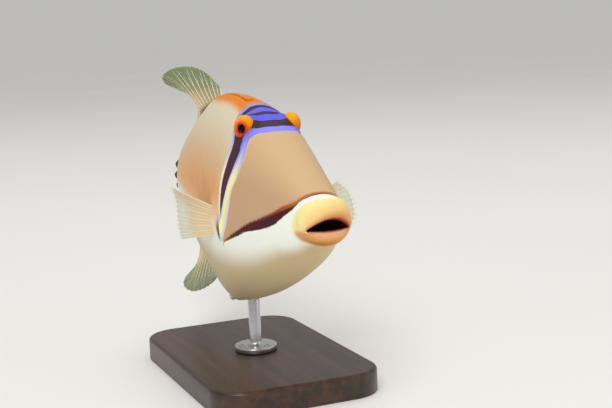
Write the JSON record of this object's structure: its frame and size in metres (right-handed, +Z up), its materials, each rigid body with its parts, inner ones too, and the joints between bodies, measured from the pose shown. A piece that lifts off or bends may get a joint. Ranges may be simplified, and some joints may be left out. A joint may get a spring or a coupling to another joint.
{
  "type": "fish model",
  "caption": "Life-size still model of a picassofish, a reef triggerfish, swimming with its tail turned aside, on a plain stand with a flat base and a short rod.",
  "frame": {"origin": "middle of the stand's flat underside, straight under the rod", "axes": "+Z up, the snout points along -Y, the fish's left side is +X"},
  "size_m": [0.0796, 0.2381, 0.1296],
  "materials": {
    "skin_front": "satin painted resin",
    "skin_rear": "satin painted resin",
    "lips": "satin painted resin",
    "eyes": "high gloss",
    "fins": "thin clear resin",
    "folded_fin": "satin painted resin",
    "bone": "matt painted resin",
    "base_wood": "dark stain, satin varnish",
    "rod_steel": "satin steel"
  },
  "bodies": {
    "root": {"head": "skin_front", "torso": "skin_rear", "tail_stalk": "skin_rear", "lips": "lips", "eye_left": "eyes", "eye_right": "eyes", "dorsal_fin_spiny": "folded_fin", "dorsal_fin_soft": "fins", "anal_fin": "fins", "tail_fin": "fins", "pectoral_fin_left": "fins", "pectoral_fin_right": "fins", "pelvic_spine": "bone", "stand_base": "base_wood", "stand_rod": "rod_steel"}
  },
  "joints": []
}
